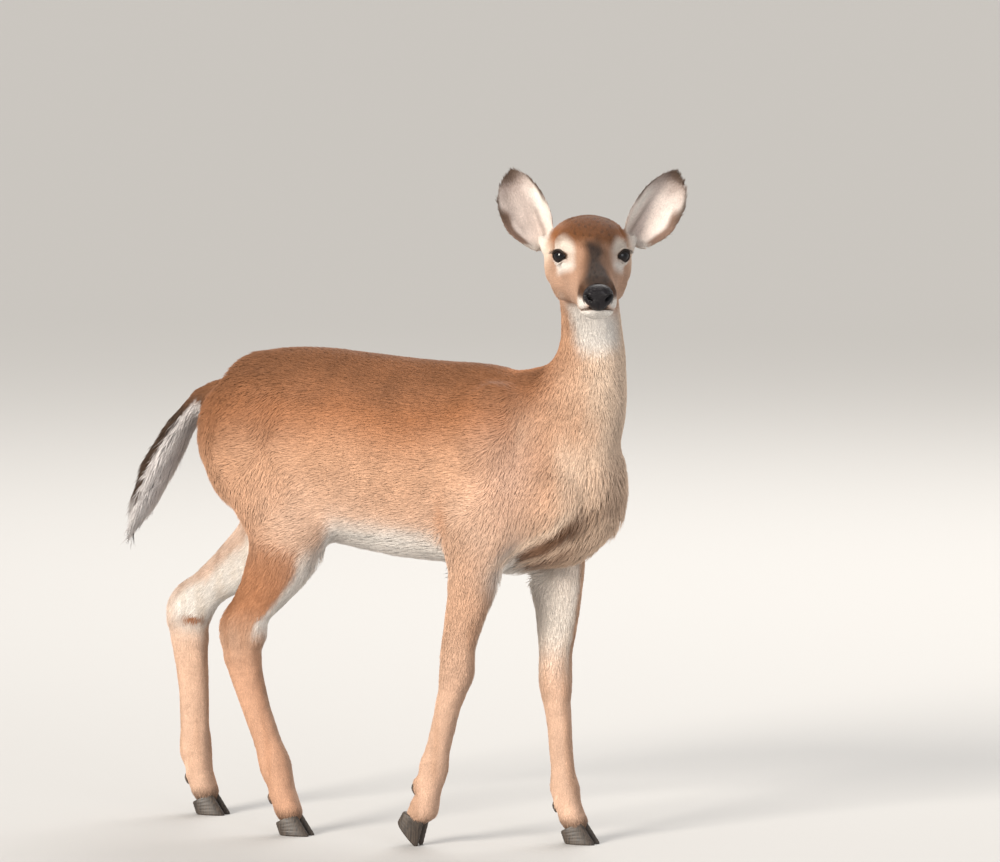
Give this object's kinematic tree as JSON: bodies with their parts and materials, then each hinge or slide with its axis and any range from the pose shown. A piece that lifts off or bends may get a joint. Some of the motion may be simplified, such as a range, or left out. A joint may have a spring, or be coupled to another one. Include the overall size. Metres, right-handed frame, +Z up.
{
  "type": "white-tailed deer model",
  "caption": "Life-size still model of a white-tailed deer doe, standing alert in mid-step with her head turned to her right.",
  "frame": {"origin": "on the floor, under the middle of the animal's box", "axes": "+X the way her body faces, +Y to her left, +Z up"},
  "size_m": [1.1366, 0.4196, 1.2144],
  "materials": {
    "coat": "short reddish-brown fur, lying flat",
    "neck_coat": "longer buff fur, white on the throat",
    "leg_coat": "very short tan fur",
    "ear_coat": "thin pale fur with dark edges",
    "tail_coat": "long fur, dark brown above and white below",
    "nose": "bare, black and moist",
    "eye": "wet, near black",
    "hoof": "dark horn, half shiny"
  },
  "bodies": {
    "root": {"dewclaw_fore_left_inner": "hoof", "dewclaw_fore_left_outer": "hoof", "dewclaw_fore_right_inner": "hoof", "dewclaw_fore_right_outer": "hoof", "dewclaw_hind_left_inner": "hoof", "dewclaw_hind_left_outer": "hoof", "dewclaw_hind_right_inner": "hoof", "dewclaw_hind_right_outer": "hoof", "ear_left": "ear_coat", "ear_right": "ear_coat", "eye_left": "eye", "eye_right": "eye", "head": "coat", "hoof_fore_left_inner": "hoof", "hoof_fore_left_outer": "hoof", "hoof_fore_right_inner": "hoof", "hoof_fore_right_outer": "hoof", "hoof_hind_left_inner": "hoof", "hoof_hind_left_outer": "hoof", "hoof_hind_right_inner": "hoof", "hoof_hind_right_outer": "hoof", "leg_fore_left_lower": "leg_coat", "leg_fore_left_upper": "leg_coat", "leg_fore_right_lower": "leg_coat", "leg_fore_right_upper": "leg_coat", "leg_hind_left_lower": "leg_coat", "leg_hind_left_upper": "leg_coat", "leg_hind_right_lower": "leg_coat", "leg_hind_right_upper": "leg_coat", "neck": "neck_coat", "nose": "nose", "tail": "tail_coat", "trunk": "coat"}
  },
  "joints": []
}
